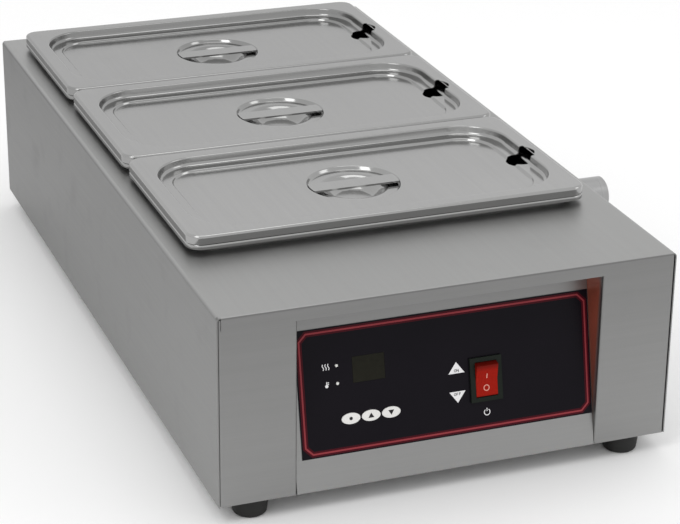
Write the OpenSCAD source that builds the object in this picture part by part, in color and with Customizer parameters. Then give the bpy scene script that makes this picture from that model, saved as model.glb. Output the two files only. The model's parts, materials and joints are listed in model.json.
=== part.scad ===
// Counter-top chocolate melting tank: a sheet-steel cabinet with a heated water bath, three lidded
// gastronorm pans, a leaning control plate and a drain valve. Millimetres, +Z up, front towards -Y.

/* [Cabinet] */
// Deck in front of the bath
deck_front = 117.9; // [112:0.1:160]
// Deck behind the bath
deck_rear = 32.3; // [28:0.1:60]
// Deck left of the bath
deck_left = 21.5; // [20:0.1:50]
// Deck right of the bath
deck_right = 26.5; // [25:0.1:50]
// Height from the underside of the cabinet to the top of the deck
body_h = 150; // [140:1:190]
// Thickness of the cabinet's sheet
sheet_t = 1; // [0.8:0.1:1.5]
// Height of the deck's turned-down edge
deck_lip = 10; // [6:1:16]
// Outer bend radius between the deck and the walls
deck_bend = 3; // [2:0.1:4]
// Outer bend radius of the deck's turned-down edges
lip_bend = 2; // [1.6:0.1:2.8]
// Outer bend radius of the pillars' upright edges
side_bend = 2; // [1.6:0.1:3]
// Width of the side panels' inner flanges
flange_w = 18; // [16:1:21]
// Gap between sheets that lie side by side
sheet_gap = 0.2; // [0.1:0.05:0.4]

/* [Control bay] */
// Width of each front pillar
pillar_w = 60; // [50:1:70]
// Depth of the bay's cheeks
cheek_d = 45; // [38:1:60]
// Lean of the control plate, in degrees
plate_lean = 12; // [6:1:16]
// Drop from the deck's top to the upper bend of the control plate
plate_drop = 11; // [11:0.5:16]
// Depth of the control plate's bottom flange
plate_foot = 26; // [22:1:34]

/* [Label and controls] */
// Bare plate left of the label
label_left = 5.5; // [4:0.5:8]
// Bare plate right of the label
label_right = 0.5; // [0.5:0.5:6]
// Bare plate above the label
label_head = 20.6; // [16:0.1:24]
// Label's lower edge, up the plate
label_v = 25; // [20:0.5:30]
// Thickness of the label
label_t = 0.5; // [0.3:0.1:0.8]
// Clearance round everything that passes through the plate
panel_fit = 0.15; // [0.1:0.05:0.3]
// Width of the display window
window_w = 25; // [20:0.5:27]
// Height of the display window
window_h = 19.5; // [16:0.5:22]
// Window's centre, in from the label's left edge
window_in = 55.5; // [52:0.1:58]
// Window's centre, up the plate
window_v = 87; // [84:0.5:89]
// Radius of an indicator lamp
lamp_r = 1.25; // [1:0.05:2]
// Lamps, in from the label's left edge
lamp_in = 30.9; // [28:0.1:34]
// Upper lamp, up the plate
heat_lamp_v = 92; // [88:0.5:96]
// Distance from the upper lamp down to the lower one
lamp_pitch = 13.4; // [10:0.1:16]
// Width of an oval key
key_w = 14.5; // [12:0.5:15]
// Height of an oval key
key_h = 8.3; // [7:0.1:11]
// Distance between keys
key_pitch = 15.8; // [15.8:0.1:17.5]
// Middle key, in from the label's left edge
key_in = 55.1; // [53:0.1:57]
// Keys, up the plate
key_v = 51; // [48:0.5:56]
// How far a key stands proud of the label
key_rise = 0.6; // [0.4:0.1:1]
// Travel of a key
key_travel = 0.5; // [0.3:0.1:0.8]
// Width of the switch's bezel
bezel_w = 25.5; // [24:0.5:30]
// Height of the switch's bezel
bezel_h = 34; // [33:0.5:38]
// Thickness of the bezel on the label
bezel_t = 2; // [1.5:0.1:3]
// Switch's centre, in from the label's left edge
switch_in = 147.3; // [140:0.1:160]
// Switch's centre, up the plate
switch_v = 65; // [58:0.5:72]
// Width of the rocker
rocker_w = 17.2; // [14:0.2:18]
// Radius of the rocker's ends about its pivot
rocker_r = 13.5; // [12:0.1:13.8]
// Height of the rocker's valley above its pivot
rocker_valley = 4; // [3:0.1:5]
// Tip of the rocker either way from its middle, in degrees
rocker_tip = 8; // [5:0.5:10]

/* [Pans and lids] */
// Length of a pan's rim, across the cabinet
pan_w = 325; // [310:1:328]
// Width of a pan's rim, along the cabinet
pan_d = 176; // [165:1:177]
// Gap between pans
pan_gap = 2.4; // [1.5:0.1:5]
// Depth of a pan below its rim
pan_depth = 100; // [65:1:102]
// Sheet thickness of the pans and lids
pan_t = 0.8; // [0.6:0.1:1]
// Width of a pan's flat rim
pan_flange = 10.5; // [9.5:0.5:12]
// Height of a pan's turned-down rim edge
pan_lip = 4; // [3:0.5:6]
// Gap between a pan's rim edge and the deck
pan_lift = 4; // [1:0.5:8]
// Outer corner radius of the rims and lids
rim_r = 12; // [8:0.5:16]
// Outer bend radius of the rims' and lids' edges
rim_bend = 2.2; // [1.5:0.1:2.8]
// Corner radius of a pan's mouth
mouth_r = 40; // [36:1:50]
// Slope of a pan's walls from upright, in degrees
pan_draft = 5; // [2:0.5:8]
// Bend between a pan's rim and wall
pan_top_bend = 3; // [2:0.5:4]
// Bend between a pan's wall and floor
pan_floor_bend = 14; // [8:0.5:18]
// Height of a lid's turned-down edge
lid_lip = 7; // [5:0.5:9]
// Width of a lid's flat border
lid_border = 12; // [11.5:0.5:15]
// Corner radius of the sunk panel's upper edge
lid_well_r = 40; // [36:1:46]
// Depth of a lid's ledge below its border
lid_wall_drop = 7; // [5:0.5:9]
// Depth of a lid's panel below its ledge
lid_step_drop = 1.8; // [1.2:0.1:3]
// Width of a lid's ledge
lid_ledge = 7; // [4:0.5:9]
// Outer bend radius at the top of a lid's wall
lid_top_bend = 1.5; // [1.2:0.1:2.5]
// Bend radius at the foot of a lid's wall
lid_floor_bend = 3; // [1.5:0.1:4]
// Slope of a lid's wall, in degrees from level
lid_slope = 80; // [65:1:85]
// Bend radius of the step between a lid's ledge and its panel
lid_step_bend = 1; // [0.9:0.1:1.5]
// Radius of the handle's dish
dish_r = 38.5; // [34:0.5:42]
// Depth of the dish's ring below the panel
dish_ring_drop = 3; // [2.7:0.1:4]
// Bend radius of the dish's rim
dish_bend = 1.5; // [1:0.1:1.8]
// Slope of a lid's step and of the dish's rim, in degrees from level
step_slope = 60; // [45:1:70]
// Radius of the dish's bowl
bowl_r = 28; // [24:0.5:30]
// Sideways run of the bowl's wall
bowl_run = 14; // [10:0.5:18]
// Depth of the handle's dish
dish_depth = 12; // [10:0.5:14]
// Width of the handle's strap
strap_w = 16; // [12:0.5:20]
// Thickness of the handle's strap
strap_t = 1.5; // [1:0.1:1.8]
// Clearance at the strap's ends
strap_fit = 0.05; // [0.02:0.01:0.1]
// Width of the ladle notch
notch_w = 23; // [18:1:30]
// Reach of the ladle notch from the lid's end
notch_l = 29; // [26:0.5:34]
// Width of the border left uncut at the ladle notch
notch_rim = 10; // [8:0.5:11]

/* [Bath] */
// Sheet thickness of the tank
tank_t = 1; // [0.8:0.1:1.5]
// Clearance between a pan and the tank's wall
tank_play = 2.2; // [1:0.1:4]
// Corner radius of the tank
tank_r = 15; // [8:1:25]
// Clearance round the pans' lips where they cross the tank's edge
lip_fit = 1; // [0.5:0.1:1.5]
// Room for water under the pans
water_gap = 10; // [6:0.5:14]
// Thickness of the heater mat
heater_t = 2; // [1:0.1:4]
// Heater mat's margin inside the tank's floor
heater_margin = 14; // [8:1:30]
// Insulation's margin outside the heater mat
wool_margin = 8; // [4:1:12]

/* [Drain] */
// Reach of the drain from the wall to the spout's end
drain_reach = 110; // [100:1:130]
// Drain's centre, back from the cabinet's middle
drain_y = 0; // [-40:1:40]
// Radius of the drain's bore
drain_r = 10; // [8:0.5:11]
// Rise of the drain's bore above the tank's floor
drain_rise = 1; // [1:0.5:4]
// Wall of the spigot
spigot_wall = 3.2; // [2.5:0.1:4]
// Radius of the spout
spout_r = 16.2; // [15.5:0.1:19]
// Radius of the valve's barrel
barrel_r = 20; // [19.5:0.5:24]
// Radius of the valve's ball
ball_r = 14.8; // [14:0.1:16]
// Running clearance of turning pieces
run_fit = 0.05; // [0.02:0.01:0.1]
// Clearance of threads and press-together pieces
thread_fit = 0.1; // [0.05:0.05:0.2]
// Radius of the valve's stem
stem_r = 5; // [4:0.5:6]
// Length of the lever from the stem's axis
lever_l = 78; // [60:1:95]
// Width of the lever
lever_w = 18; // [15:1:22]
// Thickness of the lever
lever_t = 2.5; // [2:0.5:4]

/* [Feet] */
// Height of a foot
foot_h = 16; // [12:1:25]
// Radius of a foot at its top
foot_r = 14.5; // [12:0.5:15]
// Radius of a foot above its rounded lower edge
foot_base_r = 13; // [11:0.5:13.5]
// Foot's centre in from the side
foot_in_x = 29; // [24:1:40]
// Foot's centre in from the front and the back
foot_in_y = 17; // [17:0.5:24]

/* [Fasteners and gland] */
// Radius of a screw's shank
screw_r = 2; // [1.5:0.25:2.5]
// Radius of a screw's head
screw_head_r = 3.8; // [3:0.2:5]
// Height of a screw's head
screw_head_h = 2.2; // [1.6:0.2:3]
// Length of a screw
screw_l = 9; // [6:1:12]
// Gland's centre, sideways from the cabinet's middle
gland_x = -110; // [-130:1:-80]
// Gland's centre above the base
gland_z = 40; // [30:1:60]
// Radius of the gland's cord hole
cord_r = 4.2; // [3:0.1:5]

/* [Hidden] */
$fn = 64;
eps = 0.01;
// Overlap of a sheet's swept wall and its flat floor
lap = 1;

// Bath, from the pans, and the cabinet round it
pan_pitch = pan_d + pan_gap;
tank_in_w = pan_w - 2 * pan_flange + 2 * pan_t + 2 * tank_play;
tank_in_d = 2 * pan_pitch + pan_d - 2 * pan_flange + 2 * pan_t + 2 * tank_play;
tank_out_w = tank_in_w + 2 * tank_t;
tank_out_d = tank_in_d + 2 * tank_t;
body_w = deck_left + tank_out_w + deck_right;
body_d = deck_front + tank_out_d + deck_rear;
bath_x = (deck_left - deck_right) / 2;
bath_y = (deck_front - deck_rear) / 2;

// Levels and places that follow from the sizes above
base_z = foot_h;
deck_z = foot_h + body_h;
under_deck_z = deck_z - sheet_t;
floor_z = base_z + 2 * sheet_t;
side_x = body_w / 2;
front_y = -body_d / 2;
rear_y = body_d / 2;
bay_w = body_w - 2 * pillar_w;
deck_d = body_d + 2 * (sheet_t + sheet_gap);

// Pans, tank and heater
rim_z = deck_z + pan_lift + pan_lip;
tank_top_z = rim_z - pan_t;
pan_floor_z = rim_z - pan_depth;
tank_floor_z = pan_floor_z - water_gap;
tank_under_z = tank_floor_z - tank_t;
tank_front_y = bath_y - tank_out_d / 2;
heater_w = tank_in_w - 2 * heater_margin;
heater_d = tank_in_d - 2 * heater_margin;
heater_under_z = tank_under_z - heater_t;
lid_z = rim_z + lid_lip;
panel_z = lid_z - lid_wall_drop - lid_step_drop;

// Control plate
plate_len = (body_h - plate_drop) / cos(plate_lean);
plate_w = bay_w - 2 * sheet_gap;
label_w = plate_w - label_left - label_right;
label_h = plate_len - label_v - label_head;
label_edge_u = label_left - plate_w / 2;
window_u = label_edge_u + window_in;
lamp_u = label_edge_u + lamp_in;
thermal_lamp_v = heat_lamp_v - lamp_pitch;
key_u = label_edge_u + key_in;
switch_u = label_edge_u + switch_in;
plate_top_y = front_y + plate_len * sin(plate_lean);

// Controls behind the plate, as depths from its face
module_d = 8;
module_margin = 1.5;
board_back = sheet_t + module_d;
board_t = 1.6;
board_u = window_u - 5;
board_v = (key_v + heat_lamp_v) / 2;
board_w = 72;
board_margin = 15;
board_h = heat_lamp_v - key_v + 2 * board_margin;
standoff_r = 3;
standoff_in = 5;
plunger_h = 1;
tact_w = 6;
plunger_r = 1.75;
tact_h = 3.5;
key_flange = 1;
key_flange_t = 1;
key_slack = 0.2;
key_sides = 48;
pivot_w = label_t + bezel_t - rocker_valley + 0.3;
pin_r = 1.5;
switch_wall = 2.2;
switch_end_wall = 1.3;
switch_slack = 0.2;
switch_d = 20;
switch_in_w = rocker_w + 2 * switch_slack;
switch_in_h = 2 * (rocker_r + switch_slack);
switch_out_w = switch_in_w + 2 * switch_wall;
switch_out_h = switch_in_h + 2 * switch_end_wall;
rocker_base = 4.5;
pocket_w = pivot_w - rocker_base - rocker_r * sin(rocker_tip) - 1;
blade = [6.3, 0.8, 9];

// Drain chain, outward from the side panel
gasket_w = 7;
gasket_t = 2;
lock_nut_t = 6;
nut_af = 36;
inlet_l = 14;
inlet_af = 34;
barrel_l = 46;
collar_l = 8;
collar_af = 36;
joint_gap = 1;
drain_z = tank_floor_z + drain_r + drain_rise;
spigot_r = drain_r + spigot_wall;
spigot_x = bath_x + tank_in_w / 2;
valve_x = side_x + gasket_t + lock_nut_t + joint_gap;
barrel_x = valve_x + inlet_l;
cavity_r = ball_r + 0.6;
seat_gap = 0.3;
seat_l = 6;
cavity_l = 2 * ball_r + 1;
cavity_x = barrel_x + 1.5;
ball_x = cavity_x + cavity_l / 2;
spout_x = valve_x + inlet_l + barrel_l;
spout_end_x = side_x + drain_reach;
socket_r = spigot_r + thread_fit;
screw_in_r = cavity_r;
neck_r = 9;
neck_h = 8;
neck_z = drain_z + barrel_r + neck_h;
tang = [6, 12, 3];
tang_z = drain_z + ball_r - tang[2] - 0.5;
flats_w = 7;
flats_h = lever_t - 0.2;
shoulder_z = neck_z + 2;
lever_z = shoulder_z;
lever_nut_h = 5;
lever_nut_af = 13;
stem_top_r = flats_w / 2;

// Feet and screws
foot_bore_r = 2.75;
foot_screw_r = 2.5;
foot_sink_r = 5.5;
foot_sink_h = 8;
foot_edge = 3;
foot_head_h = 3;
foot_nut_h = 4;
foot_nut_af = 8;
pad_d = foot_in_y + foot_r + 3;
hole_fit = 0.1;
screw_in = flange_w / 2;
base_screw_y = [-body_d * 0.25, 0, body_d * 0.25];
panel_screw_x = [-bay_w / 3, 0, bay_w / 3];
rear_screw_z = [base_z + body_h * 0.2, base_z + body_h * 0.5, base_z + body_h * 0.8];

// Gland
gland_af = 24;
gland_hex_t = 6;
gland_thread_r = 9.9;
gland_inner_l = 12;
gland_outer_l = 8;
gland_outer_r = 9.5;
gland_bore_r = 6.5;
gland_cap_r = 12;
gland_cap_l = 14;
gland_cap_wall = 3;
gland_nut_t = 5;
gland_reach = gland_hex_t + joint_gap / 2 + gland_cap_l;
gland_pos_z = base_z + gland_z;

// The frame's origin is the middle of the whole outline, on the counter
cabinet_x = (side_x - spout_end_x) / 2;
cabinet_y = (deck_d / 2 - rear_y - gland_reach) / 2;

// Colours
steel = "#b4b4b2";
bright = "#c9c9c7";
rubber = "#1b1b1b";
brass = "#b79a55";
plastic = "#202024";

// Helpers

// Moves the cabinet's own frame, centred on its base, to the part's frame
module in_frame() { translate([cabinet_x, cabinet_y, 0]) children(); }

// Box from its lowest to its highest corner
module box(low, high) { translate(low) cube(high - low); }

// Rounded rectangle, centred
module rounded_rect(w, d, r) {
    square([w - 2 * r, d], center = true);
    square([w, d - 2 * r], center = true);
    for (sx = [-1, 1], sy = [-1, 1])
        translate([sx * (w / 2 - r), sy * (d / 2 - r)]) circle(r);
}

// Carries a profile round a rounded rectangle: the profile's x is measured out from the corner's centre
module swept_round(w, d, r) {
    for (turn = [0:3]) {
        first = turn % 2 == 0 ? w : d;
        second = turn % 2 == 0 ? d : w;
        rotate(90 * turn) translate([first / 2 - r, second / 2 - r, 0]) {
            rotate_extrude(angle = 90) children();
            rotate([90, 0, 0]) linear_extrude(second - 2 * r) children();
        }
    }
}

// Closed outline of a sheet from the points of its upper face, each [x, z, slope in degrees]
function sheet_outline(path, t) = concat(
    [for (p = path) [p[0], p[1]]],
    [for (i = [len(path) - 1:-1:0]) [path[i][0] + t * sin(path[i][2]), path[i][1] - t * cos(path[i][2])]]
);

// Smooth step down and inward from [r, z], over a run and a drop
function step_path(r, z, run, drop, n = 8) = [
    for (i = [0:n]) [
        r - run * i / n,
        z - drop * (1 - cos(180 * i / n)) / 2,
        atan(PI / 2 * drop / run * sin(180 * i / n))
    ]
];

// Sideways run of a wall: a bend, a straight slope and a bend back to level
function wall_run(top, foot, slope, depth) =
    (top + foot) * sin(slope) + (depth - (top + foot) * (1 - cos(slope))) / tan(slope);

// Upper face of that wall from [r, z] inward and down
function wall_path(r, z, top, foot, slope, depth, n = 5) = concat(
    [for (i = [0:n]) let (a = slope * i / n) [r - top * sin(a), z - top * (1 - cos(a)), a]],
    [for (i = [n:-1:0]) let (a = slope * i / n)
        [r - wall_run(top, foot, slope, depth) + foot * sin(a), z - depth + foot * (1 - cos(a)), a]]
);

// Quarter turn about [x, y] from one angle, as points
function quarter(x, y, r, from, n = 5) =
    [for (i = [0:n]) let (a = from + 90 * i / n) [x + r * cos(a), y + r * sin(a)]];
function reversed(points) = [for (i = [len(points) - 1:-1:0]) points[i]];

// Flat rim with an edge bent down, its upper face at z = 0. Children cut the hole
module flanged_rim(w, d, r, lip, t, bend) {
    translate([0, 0, -t]) linear_extrude(t) difference() {
        rounded_rect(w - 2 * bend, d - 2 * bend, r - bend);
        children();
    }
    swept_round(w, d, r) polygon(concat(
        [[r - t, -lip], [r, -lip]], quarter(r - bend, -bend, bend, 0),
        reversed(quarter(r - bend, -bend, bend - t, 0))
    ));
}

// Places children on the control plate: x sideways, y up the plate, z out of its face
module on_plate() {
    translate([0, front_y, base_z]) rotate([90 - plate_lean, 0, 0]) children();
}

// Outline of an oval key, grown by a margin
module key_outline(grow = 0) {
    polygon([for (i = [0:key_sides - 1]) let (a = 360 * i / key_sides)
        [(key_w / 2 + grow) * cos(a), (key_h / 2 + grow) * sin(a)]]);
}

// Hexagonal prism along +Z
module hex_prism(af, h) { cylinder(r = af / 2 / cos(30), h = h, $fn = 6); }

// Turns +Z to +X, and +Z to +Y
module along_x() { rotate([0, 90, 0]) children(); }
module along_y() { rotate([-90, 0, 0]) children(); }

// Screw with its head under z = 0 and its shank upward
module screw(l = screw_l) {
    translate([0, 0, -screw_head_h]) cylinder(r = screw_head_r, h = screw_head_h);
    cylinder(r = screw_r, h = l);
}

// The places of the four feet
module at_feet() {
    for (sx = [-1, 1], sy = [-1, 1]) at_foot(sx, sy) children();
}
module at_foot(sx, sy) {
    translate([sx * (side_x - foot_in_x), sy * (rear_y - foot_in_y), 0]) children();
}

// The places of the screws
module at_base_screws() {
    for (sx = [-1, 1], y = base_screw_y) translate([sx * (side_x - screw_in), y, base_z]) children();
}
module at_panel_screws() {
    for (x = panel_screw_x) translate([x, front_y + plate_foot * 0.65, base_z]) children();
}
module at_rear_screws() {
    for (sx = [-1, 1], z = rear_screw_z)
        translate([sx * (side_x - screw_in), rear_y, z]) rotate([90, 0, 0]) children();
}
module screw_hole() { translate([0, 0, -eps]) cylinder(r = screw_r + hole_fit, h = screw_l); }

// The places of the pans, front to back
module at_pan(i) { translate([bath_x, bath_y + (i - 1) * pan_pitch, 0]) children(); }

// Cabinet

// Cross-section of the right-hand wall, with its bend up to the deck
module wall_section() {
    b = deck_bend;
    polygon(concat(
        [[side_x, base_z]],
        quarter(side_x - b, deck_z - b, b, 0),
        reversed(quarter(side_x - b, deck_z - b, b - sheet_t, 0)),
        [[side_x - sheet_t, base_z]]
    ));
}

// The deck's rear turned-down edge; the front one is its mirror image
module deck_edge() {
    outside = sheet_gap + sheet_t;
    start = outside - lip_bend;
    bend_z = deck_z - lip_bend;
    translate([0, rear_y, 0]) rotate([90, 0, 90]) linear_extrude(body_w - 2 * deck_bend, center = true)
        polygon(concat(
            reversed(quarter(start, bend_z, lip_bend - sheet_t, 0)),
            [[outside - sheet_t, deck_z - deck_lip], [outside, deck_z - deck_lip]],
            quarter(start, bend_z, lip_bend, 0)
        ));
}

// Deck, welded edge to edge to both side panels, with the bath's opening
module top_deck() {
    flat_x = side_x - deck_bend;
    flat_y = rear_y + sheet_gap + sheet_t - lip_bend;
    color(steel) difference() {
        union() {
            box([-flat_x, -flat_y, under_deck_z], [flat_x, flat_y, deck_z]);
            for (end = [0, 1]) mirror([0, end, 0]) deck_edge();
        }
        translate([bath_x, bath_y, under_deck_z - 1]) linear_extrude(sheet_t + 2) rounded_rect(
            tank_out_w + 2 * sheet_gap, tank_out_d + 2 * sheet_gap, tank_r + tank_t + sheet_gap
        );
    }
}

// Plan of the right-hand pillar: return welded to the wall, face and cheek
module pillar_outline() {
    b = side_bend;
    x = side_x - sheet_t;
    polygon(concat(
        [[x, front_y + flange_w]],
        reversed(quarter(x - b, front_y + b, b, 270)),
        reversed(quarter(bay_w / 2 + b, front_y + b, b, 180)),
        [[bay_w / 2, front_y + cheek_d], [bay_w / 2 + sheet_t, front_y + cheek_d]],
        quarter(bay_w / 2 + b, front_y + b, b - sheet_t, 180),
        quarter(x - b, front_y + b, b - sheet_t, 270),
        [[x - sheet_t, front_y + flange_w]]
    ));
}

// Foot pads, bottom flange and rear return of the right-hand side
module side_flanges() {
    inner_x = side_x - sheet_t / 2;
    first_y = front_y + sheet_t / 2;
    last_y = rear_y - sheet_t;
    pad_z = base_z + sheet_t;
    box([bay_w / 2 + side_bend, first_y, base_z], [inner_x, front_y + pad_d, pad_z]);
    box([bay_w / 2, last_y - pad_d, base_z], [inner_x, last_y, pad_z]);
    box([side_x - flange_w, first_y, base_z], [inner_x, last_y, pad_z]);
    box([side_x - flange_w, last_y - sheet_t, base_z], [inner_x, last_y, deck_z - deck_bend - sheet_gap]);
}

// Right-hand side: wall, front pillar clear of the base plate, and flanges
module side_sheet() {
    difference() {
        union() {
            translate([0, rear_y, 0]) rotate([90, 0, 0]) linear_extrude(body_d) wall_section();
            difference() {
                translate([0, 0, base_z]) linear_extrude(body_h - lip_bend) pillar_outline();
                box([0, front_y + sheet_t, base_z - 1],
                    [side_x, front_y + cheek_d + 1, floor_z + sheet_gap]);
            }
            side_flanges();
        }
        at_feet() cylinder(r = foot_screw_r + hole_fit, h = floor_z + 1);
        at_base_screws() screw_hole();
        at_rear_screws() screw_hole();
    }
}

module left_side_panel() { color(steel) mirror([1, 0, 0]) side_sheet(); }

module right_side_panel() {
    color(steel) difference() {
        side_sheet();
        translate([side_x - 2 * sheet_t, drain_y, drain_z]) along_x()
            cylinder(r = spigot_r + 2 * sheet_gap, h = 4 * sheet_t);
    }
}

module rear_panel() {
    edge = side_x - sheet_t - sheet_gap;
    color(steel) difference() {
        box([-edge, rear_y - sheet_t, base_z], [edge, rear_y, deck_z - deck_bend - sheet_gap]);
        at_rear_screws() screw_hole();
        translate([gland_x, rear_y + 1, gland_pos_z]) rotate([90, 0, 0])
            cylinder(r = gland_thread_r + hole_fit, h = sheet_t + 2);
    }
}

module base_plate() {
    edge = side_x - sheet_t - sheet_gap;
    color(steel) difference() {
        box([-edge, front_y + side_bend + sheet_gap, base_z + sheet_t],
            [edge, rear_y - 2 * sheet_t - sheet_gap, floor_z]);
        at_feet() cylinder(r = foot_screw_r + hole_fit, h = deck_z);
        at_base_screws() screw_hole();
        at_panel_screws() screw_hole();
    }
}

// Leaning plate with a foot flange and an upright top flange, cut for the controls
module control_plate() {
    rise = plate_len * cos(plate_lean);
    skin = sheet_t / cos(plate_lean);
    foot_in = front_y + sheet_t * tan(plate_lean) + skin;
    bend_z = base_z + rise + (sheet_t - skin) / tan(plate_lean);
    color(steel) difference() {
        rotate([90, 0, 90]) linear_extrude(plate_w, center = true) polygon([
            [front_y, base_z], [plate_top_y, base_z + rise], [plate_top_y, under_deck_z],
            [plate_top_y + sheet_t, under_deck_z], [plate_top_y + sheet_t, bend_z],
            [foot_in, base_z + sheet_t], [front_y + plate_foot, base_z + sheet_t],
            [front_y + plate_foot, base_z]
        ]);
        on_plate() translate([0, 0, -2 * sheet_t]) linear_extrude(4 * sheet_t) panel_cuts();
        at_panel_screws() screw_hole();
    }
}

// Openings for the window, the lamps, the keys and the switch
module panel_cuts() {
    translate([window_u, window_v])
        square([window_w + 2 * panel_fit, window_h + 2 * panel_fit], center = true);
    for (v = [heat_lamp_v, thermal_lamp_v]) translate([lamp_u, v]) circle(lamp_r + panel_fit);
    for (i = [-1:1]) translate([key_u + i * key_pitch, key_v]) key_outline(panel_fit);
    translate([switch_u, switch_v])
        square([switch_out_w + 2 * panel_fit, switch_out_h + 2 * panel_fit], center = true);
}

module panel_label() {
    color("#1a141b") on_plate() linear_extrude(label_t) difference() {
        translate([label_edge_u, label_v]) square([label_w, label_h]);
        panel_cuts();
    }
}

// Controls

module display_window() {
    color("#22221a") on_plate() translate([window_u, window_v, (label_t - sheet_t) / 2])
        cube([window_w, window_h, label_t + sheet_t], center = true);
}

module display_module() {
    color(plastic) on_plate() translate([window_u, window_v, -sheet_t - module_d / 2])
        cube([window_w + 2 * module_margin, window_h + 2 * module_margin, module_d], center = true);
}

module lamp(v) {
    top = label_t + lamp_r / 2;
    color("white") on_plate() translate([lamp_u, v, -board_back]) {
        cylinder(r = lamp_r, h = board_back + top - lamp_r);
        translate([0, 0, board_back + top - lamp_r]) sphere(r = lamp_r);
    }
}
module heat_lamp() { lamp(heat_lamp_v); }
module thermal_lamp() { lamp(thermal_lamp_v); }

// Key: cap through the plate, retaining flange behind it and a post over its switch
module key(i) {
    flange_top = -sheet_t - key_slack;
    post_end = -board_back + tact_h + plunger_h + key_travel + key_slack / 2;
    color("#f2f2f0") on_plate() translate([key_u + i * key_pitch, key_v, 0]) {
        translate([0, 0, flange_top]) linear_extrude(label_t + key_rise - flange_top) key_outline();
        translate([0, 0, flange_top - key_flange_t]) linear_extrude(key_flange_t)
            square([key_w, key_h + 2 * key_flange], center = true);
        translate([0, 0, post_end]) cylinder(r = 2, h = flange_top - post_end);
    }
}
module set_key() { key(-1); }
module up_key() { key(0); }
module down_key() { key(1); }

module key_switches() {
    color(plastic) for (i = [-1:1]) on_plate() translate([key_u + i * key_pitch, key_v, -board_back]) {
        translate([-tact_w / 2, -tact_w / 2, 0]) cube([tact_w, tact_w, tact_h]);
        cylinder(r = plunger_r, h = tact_h + plunger_h);
    }
}

module at_standoffs() {
    for (su = [-1, 1], sv = [-1, 1]) on_plate() translate([
        board_u + su * (board_w / 2 - standoff_in), board_v + sv * (board_h / 2 - standoff_in), -board_back
    ]) children();
}

module control_board() {
    color("darkgreen") difference() {
        on_plate() translate([board_u, board_v, -board_back - board_t / 2])
            cube([board_w, board_h, board_t], center = true);
        at_standoffs() translate([0, 0, -board_t - 1])
            cylinder(r = standoff_r / 2 + hole_fit, h = board_t + 2);
    }
}

module board_standoffs() {
    color(brass) at_standoffs() {
        cylinder(r = standoff_r, h = module_d);
        translate([0, 0, -board_t - 2]) cylinder(r = standoff_r / 2, h = board_t + 2);
    }
}

// Switch: bezel on the label, body behind the plate, pocket and pin bores for the rocker
module switch_housing() {
    color("#15181a") on_plate() translate([switch_u, switch_v, 0]) {
        difference() {
            union() {
                translate([-bezel_w / 2, -bezel_h / 2, label_t]) cube([bezel_w, bezel_h, bezel_t]);
                translate([-switch_out_w / 2, -switch_out_h / 2, -switch_d])
                    cube([switch_out_w, switch_out_h, switch_d + label_t]);
            }
            translate([-switch_in_w / 2, -switch_in_h / 2, pocket_w])
                cube([switch_in_w, switch_in_h, switch_d + bezel_t]);
            translate([-switch_out_w / 2 + switch_wall / 3, 0, pivot_w]) along_x()
                cylinder(r = pin_r + run_fit, h = switch_out_w - switch_wall / 1.5);
        }
        for (su = [-1, 1], sv = [-1, 1])
            translate([su * switch_out_w / 4, sv * switch_out_h / 4, -switch_d - blade[2] / 2 + eps])
                cube(blade, center = true);
    }
}

// Rocker with its pivot pins, lower half pressed in
module switch_rocker() {
    rise = rocker_r * tan(rocker_tip);
    pin_l = switch_in_w + switch_wall;
    color("#b3160c") on_plate() translate([switch_u, switch_v, pivot_w]) rotate([rocker_tip, 0, 0]) {
        rotate([90, 0, 90]) linear_extrude(rocker_w, center = true) intersection() {
            circle(rocker_r);
            polygon([
                [-rocker_r, -rocker_base], [rocker_r, -rocker_base], [rocker_r, rocker_valley + rise],
                [0, rocker_valley], [-rocker_r, rocker_valley + rise]
            ]);
        }
        translate([-pin_l / 2, 0, 0]) along_x() cylinder(r = pin_r, h = pin_l);
    }
}

// Electrics on the base plate, in the room in front of the tank

room_y = (front_y + plate_foot + tank_front_y) / 2;
block_size = [60, 22, 20];
block_x = 62;
well_r = 2.5;
well_pitch = block_size[0] / 5.5;
well_floor = 12;
relay_size = [58, 45, 25];
relay_x = -40;
relay_post_r = 3.5;
relay_post_h = 3;
stud_x = 108;
stud_r = 2.5;
stud_l = 16;
stud_washer_r = 6;
stud_nut_af = 8;
stud_nut_h = 5;
wire_slack = 0.1;
wire_r = heater_t / 2 - wire_slack;
wire_bend_r = wire_r * 1.02;
wire_pitch = 12;

module terminal_block() {
    well_y = room_y - block_size[1] / 4;
    color("#e6e0cf") difference() {
        translate([block_x - block_size[0] / 2, room_y - block_size[1] / 2, floor_z]) cube(block_size);
        for (i = [-2:2]) translate([block_x + i * well_pitch, well_y, floor_z + well_floor])
            cylinder(r = well_r, h = block_size[2]);
    }
}

module heater_relay() {
    top_z = floor_z + relay_size[2] - eps;
    color(plastic) {
        translate([relay_x - relay_size[0] / 2, room_y - relay_size[1] / 2, floor_z]) cube(relay_size);
        for (sx = [-1, 1]) translate([relay_x + sx * relay_size[0] / 4, room_y, top_z])
            cylinder(r = relay_post_r, h = relay_post_h);
    }
}

module earth_stud() {
    color(brass) translate([stud_x, room_y, floor_z]) {
        cylinder(r = stud_washer_r, h = sheet_t);
        hex_prism(stud_nut_af, stud_nut_h);
        cylinder(r = stud_r, h = stud_l);
    }
}

// Two wires from the terminal block up and back to the heater mat
module heater_wires() {
    wire_z = heater_under_z + heater_t / 2;
    start_z = floor_z + block_size[2];
    back_l = bath_y - heater_d / 2 - room_y - block_size[1] / 4;
    color("#d8d2c0") for (i = [0, 1]) translate([block_x + i * wire_pitch, room_y + block_size[1] / 4, 0]) {
        translate([0, 0, start_z]) cylinder(r = wire_r, h = wire_z - start_z);
        translate([0, 0, wire_z]) sphere(r = wire_bend_r);
        translate([0, 0, wire_z]) along_y() cylinder(r = wire_r, h = back_l);
    }
}

// Bath

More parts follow.
